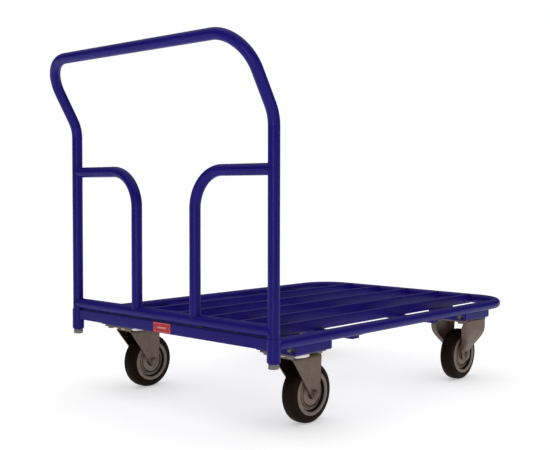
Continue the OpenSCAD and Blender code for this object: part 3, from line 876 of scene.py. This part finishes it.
def fork_path():
    """One half of the fork's front view: (y, z) from the leg's end up to the crown's middle."""
    path = [(LEG_Y, AXLE_Z - FORK_END_R * math.cos(QUARTER * share)) for share in shares(8)]
    path += [(LEG_Y, AXLE_Z + (SPREAD_Z - AXLE_Z) * share) for share in shares(3)[1:]]
    bend_z = CROWN_Z - CROWN_BEND
    for share in shares(12)[1:]:
        z = SPREAD_Z + (bend_z - SPREAD_Z) * share
        path.append((LEG_Y + (CROWN_Y - LEG_Y) * (z - SPREAD_Z) / (CROWN_Z - SPREAD_Z), z))
    bend_y = path[-1][0] - CROWN_BEND
    for share in shares(6)[1:]:
        out, up = math.cos(QUARTER * share), math.sin(QUARTER * share)
        path.append((bend_y + CROWN_BEND * out, bend_z + CROWN_BEND * up))
    path += [(bend_y * (1 - share), CROWN_Z) for share in shares(6)[1:]]
    return path


def cup_profile():
    """The bright cup round the ball race: a ring with rolled edges."""
    low, high = CROWN_Z - CUP_DROP, PLATE_LOW - CUP_GAP
    inner = CUP_R - CUP_T
    return rounded([(inner, low), (CUP_R, low), (CUP_R, high), (inner, high)], CUP_EDGE)


def forks():
    """Swivel forks: one bent sheet over the wheel, with painted shade on its inner faces, and the cup
    on its crown.
    """
    half = fork_path()
    path = half + [(-y, z) for y, z in reversed(half[:-1])]
    for side in SIDES:
        pin = centre(f"rear_{side}_top_plate")
        rows = []
        for y, z in path:
            back, front = fork_span(z)
            rows.append([Vector((pin.x + back + (front - back) * share, pin.y + y, z))
                         for share in shares(12)])
        bm = bmesh.new()
        # The fork's inner faces take the near-black steel: painted shade inside the fork
        add_thick_sheet(bm, rows, LEG_T, painted_shade=1)
        piece(f"rear_{side}_fork_pressing", bm, CASTER_STEEL, f"{side}_swivel",
              [f"rear_{side}_fork"], bevel=PRESSED_EDGE, painted_shade=PAINTED_SHADE_STEEL)
        bm = bmesh.new()
        add_lathe(bm, cup_profile(), at(Vector((pin.x, pin.y, 0))), segments=128)
        piece(f"rear_{side}_swivel_cup", bm, BRIGHT_ZINC, f"{side}_swivel")


# ---------------------------------------------------------------- wheels

def tyre_profile(steps=96):
    """The tyre's section: a rounded tread with two deep grooves and two shallow ones."""
    points = []
    for i in range(steps + 1):
        t = -math.cos(math.pi * i / steps)
        r = RIM_R + (WHEEL_R - RIM_R) * max(0.0, 1 - abs(t) ** TYRE_POWER) ** (1 / TYRE_POWER)
        groove = sum(depth * math.exp(-((abs(t) - place) / width) ** 2)
                     for place, width, depth in TYRE_GROOVES)
        points.append((r - GROOVE_DEPTH * groove, t * TYRE_HALF))
    edge = [(RIM_R + TYRE_LIP, TYRE_HALF), (RIM_R - TYRE_LIP, TYRE_HALF - TYRE_LIP / 2)]
    return [(r, -y) for r, y in reversed(edge)] + points[1:-1] + edge


def rim_profile():
    """Half the rim's section: a flat flange, a deep ring, a raised ring and the hub's seat."""
    outer = rounded(scaled(RIM_FACE), RIM_BEND, closed=False)
    inside = [(r - (RING_WALL_T if r > RING_WALL_R else 0), z - RIM_T) for r, z in outer[RIM_EDGE:]]
    return outer + inside[::-1]


def painted_shade_profile(face):
    """A thin skin of painted shade over one ring of the rim."""
    outer = scaled(face)
    return outer + [(r + PAINTED_SHADE_T, z - PAINTED_SHADE_T) for r, z in reversed(outer)]


def both_sides(hub, profiles, segments):
    """A new mesh with every profile turned once on each side of the wheel."""
    bm = bmesh.new()
    for flip in (-1, 1):
        for profile in profiles:
            add_lathe(bm, [(r, flip * z) for r, z in profile], hub, segments)
    return bm


def wheels():
    """Tyres with shallow grooves, rims pressed in rings, painted shade over their rings, and the hub
    seals.
    """
    for end in ENDS:
        for side in SIDES:
            body = f"{end}_{side}_wheel"
            hub = at(centre(f"{end}_{side}_tyre"), ALONG_Y)
            bm = bmesh.new()
            add_lathe(bm, tyre_profile(), hub, WHEEL_SEGMENTS)
            piece(f"{body}_tyre", bm, RUBBER, body, [f"{end}_{side}_tyre"], sharp=50)
            bm = both_sides(hub, [rim_profile()], WHEEL_SEGMENTS)
            piece(f"{body}_discs", bm, RIM_STEEL, body, [f"{end}_{side}_rim"], sharp=50)
            # Near-black skins over the rim's rings: painted shade in their hollows
            bm = both_sides(hub, [painted_shade_profile(face) for face in RIM_PAINTED_SHADE], WHEEL_SEGMENTS)
            piece(f"{body}_ring_painted_shade", bm, PAINTED_SHADE_STEEL, body)
            bm = both_sides(hub, [rounded(scaled(SEAL), SEAL_EDGE)], SEAL_SEGMENTS)
            piece(f"{body}_seals", bm, RUBBER, body)


def axle_ends():
    """Axle nuts on the outer legs and bolt heads on the inner ones, with washers."""
    nut, head, tail, washer_r = 8 * MM, 5 * MM, 1.5 * MM, 11 * MM
    for end in ENDS:
        for side, s in SIDES.items():
            hub = at(centre(f"{end}_{side}_tyre"), Matrix.Rotation(-s * QUARTER, 4, "X"))
            bm = bmesh.new()
            add_washer(bm, BOLT_R, washer_r, LEG_Y, LEG_Y + WASHER_T, hub)
            add_hex(bm, BOLT_AF, LEG_Y + WASHER_T, LEG_Y + nut, hub)
            add_thread(bm, BOLT_R, LEG_Y + nut, LEG_Y + nut + tail, hub)
            add_washer(bm, BOLT_R, washer_r, -LEG_Y - WASHER_T, -LEG_Y, hub)
            add_hex(bm, BOLT_AF, -LEG_Y - head - WASHER_T, -LEG_Y - WASHER_T, hub)
            body, nodes = "chassis", ["front_axle_bolts", "front_axle_nuts"]
            if end == "rear":
                body, nodes = f"{side}_swivel", [f"rear_{side}_axle_bolt", f"rear_{side}_axle_nut"]
            piece(f"{end}_{side}_axle_ends", bm, CASTER_STEEL, body, nodes)


# ---------------------------------------------------------------- studio

def make_camera():
    """The camera that took the photograph, solved from the trolley's straight edges."""
    data = bpy.data.cameras.new("camera")
    data.lens = CAMERA_LENS
    data.sensor_width = SENSOR
    data.clip_end = CLIP_END
    camera = bpy.data.objects.new("camera", data)
    bpy.context.collection.objects.link(camera)
    forward = Vector((math.sin(CAMERA_YAW) * math.cos(CAMERA_PITCH),
                      math.cos(CAMERA_YAW) * math.cos(CAMERA_PITCH), -math.sin(CAMERA_PITCH)))
    aim = forward.to_track_quat("-Z", "Y").to_matrix().to_4x4()
    roll = Matrix.Rotation(-CAMERA_ROLL, 4, "Z")
    camera.matrix_world = Matrix.Translation(CAMERA_PLACE) @ aim @ roll
    bpy.context.scene.camera = camera


def area_light(name, place, size, power):
    """A round soft lamp, aimed at the middle of the trolley."""
    data = bpy.data.lights.new(name, "AREA")
    data.shape = "DISK"
    data.size = size
    data.energy = power
    light = bpy.data.objects.new(name, data)
    bpy.context.collection.objects.link(light)
    light.location = place
    light.rotation_euler = (LAMP_TARGET - Vector(place)).to_track_quat("-Z", "Y").to_euler()


def make_floor():
    """A wide pale floor."""
    bm = bmesh.new()
    bmesh.ops.create_grid(bm, x_segments=8, y_segments=8, size=FLOOR_SIZE)
    mesh = bpy.data.meshes.new("floor")
    bm.to_mesh(mesh)
    bm.free()
    floor = bpy.data.objects.new("floor", mesh)
    bpy.context.collection.objects.link(floor)
    mesh.materials.append(concrete("floor", FLOOR_COLOURS))


def make_surround():
    """A plain white room that lights from above: dim walls and a bright ceiling."""
    world = bpy.data.worlds.new("studio")
    bpy.context.scene.world = world
    world.use_nodes = True
    tree = world.node_tree
    place = tree.nodes.new("ShaderNodeTexCoord")
    height = tree.nodes.new("ShaderNodeSeparateXYZ")
    tree.links.new(place.outputs["Generated"], height.inputs["Vector"])
    rise = tree.nodes.new("ShaderNodeMapRange")
    rise.interpolation_type = "SMOOTHERSTEP"
    rise.inputs["From Min"].default_value = WALL_END
    rise.inputs["From Max"].default_value = CEILING_START
    rise.inputs["To Min"].default_value = WALL_LIGHT
    rise.inputs["To Max"].default_value = CEILING_LIGHT
    tree.links.new(height.outputs["Z"], rise.inputs["Value"])
    room = tree.nodes["Background"]
    room.inputs["Color"].default_value = WHITE
    tree.links.new(rise.outputs["Result"], room.inputs["Strength"])
    backdrop = tree.nodes.new("ShaderNodeBackground")
    backdrop.inputs["Color"].default_value = WHITE
    path = tree.nodes.new("ShaderNodeLightPath")
    mix = tree.nodes.new("ShaderNodeMixShader")
    tree.links.new(path.outputs["Is Camera Ray"], mix.inputs["Fac"])
    tree.links.new(room.outputs["Background"], mix.inputs[1])
    tree.links.new(backdrop.outputs["Background"], mix.inputs[2])
    tree.links.new(mix.outputs["Shader"], tree.nodes["World Output"].inputs["Surface"])


def studio():
    """Floor, surround and lamps."""
    make_floor()
    make_surround()
    area_light("key", KEY_PLACE, KEY_SIZE, KEY_POWER)
    area_light("fill", FILL_PLACE, FILL_SIZE, FILL_POWER)
    bpy.context.scene.view_settings.view_transform = "Standard"


dress_cad_nodes()
bars()
mounts()
welds()
label()
handle_bolts()
caster_bolts()
fixed_brackets()
forks()
wheels()
axle_ends()
make_camera()
studio()
